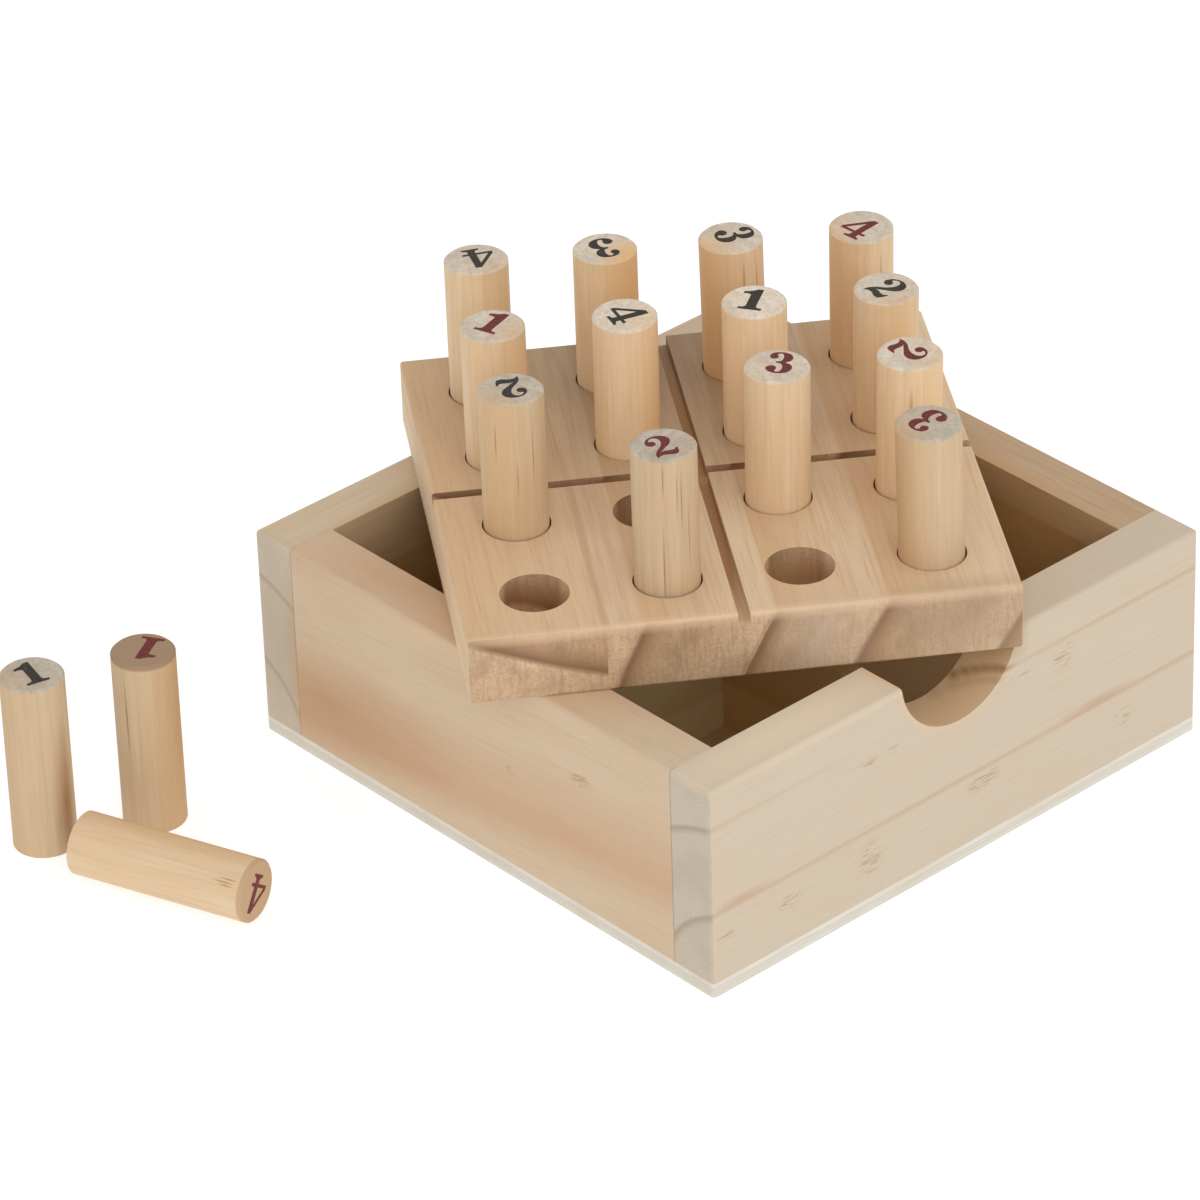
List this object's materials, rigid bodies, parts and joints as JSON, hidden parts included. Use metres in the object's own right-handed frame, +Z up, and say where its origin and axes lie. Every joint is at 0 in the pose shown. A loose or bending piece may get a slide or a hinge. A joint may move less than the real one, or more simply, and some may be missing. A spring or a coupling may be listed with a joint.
{
  "type": "sudoku board game",
  "caption": "Travel number-placing game: open wooden box with a finger notch and a crossed divider, a square pegboard lying askew on it and dowel pegs in its holes and beside it.",
  "frame": {"origin": "middle of the underside of the box's plywood floor, on the surface it stands on", "axes": "+Z up, -Y out of the wall with the finger notch, +X to the right seen from that side"},
  "size_m": [0.1903, 0.1404, 0.0864],
  "materials": {
    "pine_walls": "sanded, unfinished",
    "plywood": "raw",
    "pine_slats": "sanded, unfinished",
    "pine_board": "sanded, unfinished",
    "dowel": "sanded, unfinished"
  },
  "bodies": {
    "box": {"front_wall": "pine_walls", "back_wall": "pine_walls", "left_wall": "pine_walls", "right_wall": "pine_walls", "bottom_panel": "plywood", "divider_across": "pine_slats", "divider_lengthwise": "pine_slats"},
    "board": {"playing_board": "pine_board"},
    "peg_black_4_a": {"peg_black_4_a": "dowel"},
    "peg_black_3_a": {"peg_black_3_a": "dowel"},
    "peg_black_3_b": {"peg_black_3_b": "dowel"},
    "peg_red_4_a": {"peg_red_4_a": "dowel"},
    "peg_red_1_a": {"peg_red_1_a": "dowel"},
    "peg_black_4_b": {"peg_black_4_b": "dowel"},
    "peg_black_1_a": {"peg_black_1_a": "dowel"},
    "peg_black_2_a": {"peg_black_2_a": "dowel"},
    "peg_black_2_b": {"peg_black_2_b": "dowel"},
    "peg_red_3_a": {"peg_red_3_a": "dowel"},
    "peg_red_2_a": {"peg_red_2_a": "dowel"},
    "peg_red_2_b": {"peg_red_2_b": "dowel"},
    "peg_red_3_b": {"peg_red_3_b": "dowel"},
    "peg_black_1_b": {"peg_black_1_b": "dowel"},
    "peg_red_1_b": {"peg_red_1_b": "dowel"},
    "peg_red_4_b": {"peg_red_4_b": "dowel"}
  },
  "joints": [
    {"name": "board_lift", "type": "slide", "parent": "box", "child": "board", "axis": [0, 0, 1], "range_m": [0, 0.08]},
    {"name": "peg_black_4_a_pull", "type": "slide", "parent": "board", "child": "peg_black_4_a", "axis": [0.0174, 0.0257, 0.9995], "range_m": [0, 0.03]},
    {"name": "peg_black_3_a_pull", "type": "slide", "parent": "board", "child": "peg_black_3_a", "axis": [0.0087, 0.0129, 0.9999], "range_m": [0, 0.03]},
    {"name": "peg_black_3_b_pull", "type": "slide", "parent": "board", "child": "peg_black_3_b", "axis": [-0.0129, 0.0087, 0.9999], "range_m": [0, 0.03]},
    {"name": "peg_red_4_a_pull", "type": "slide", "parent": "board", "child": "peg_red_4_a", "axis": [-0.0131, -0.0193, 0.9997], "range_m": [0, 0.03]},
    {"name": "peg_red_1_a_pull", "type": "slide", "parent": "board", "child": "peg_red_1_a", "axis": [-0.0021, 0.0108, 0.9999], "range_m": [0, 0.03]},
    {"name": "peg_black_4_b_pull", "type": "slide", "parent": "board", "child": "peg_black_4_b", "axis": [-0.0131, -0.0193, 0.9997], "range_m": [0, 0.03]},
    {"name": "peg_black_1_a_pull", "type": "slide", "parent": "board", "child": "peg_black_1_a", "axis": [-0.0044, -0.0064, 1], "range_m": [0, 0.03]},
    {"name": "peg_black_2_a_pull", "type": "slide", "parent": "board", "child": "peg_black_2_a", "axis": [0.0085, -0.0151, 0.9998], "range_m": [0, 0.03]},
    {"name": "peg_black_2_b_pull", "type": "slide", "parent": "board", "child": "peg_black_2_b", "axis": [0.0174, 0.0257, 0.9995], "range_m": [0, 0.03]},
    {"name": "peg_red_3_a_pull", "type": "slide", "parent": "board", "child": "peg_red_3_a", "axis": [0.0064, -0.0044, 1], "range_m": [0, 0.03]},
    {"name": "peg_red_2_a_pull", "type": "slide", "parent": "board", "child": "peg_red_2_a", "axis": [0.0085, -0.0151, 0.9998], "range_m": [0, 0.03]},
    {"name": "peg_red_2_b_pull", "type": "slide", "parent": "board", "child": "peg_red_2_b", "axis": [0.0131, 0.0193, 0.9997], "range_m": [0, 0.03]},
    {"name": "peg_red_3_b_pull", "type": "slide", "parent": "board", "child": "peg_red_3_b", "axis": [-0.0367, -0.0127, 0.9992], "range_m": [0, 0.03]},
    {"name": "peg_black_1_b_pick_up", "type": "slide", "parent": "box", "child": "peg_black_1_b", "axis": [0, 0, 1], "range_m": [0, 0.05]},
    {"name": "peg_red_1_b_pick_up", "type": "slide", "parent": "box", "child": "peg_red_1_b", "axis": [0, 0, 1], "range_m": [0, 0.05]},
    {"name": "peg_red_4_b_pick_up", "type": "slide", "parent": "box", "child": "peg_red_4_b", "axis": [0, 0, 1], "range_m": [0, 0.05]}
  ]
}
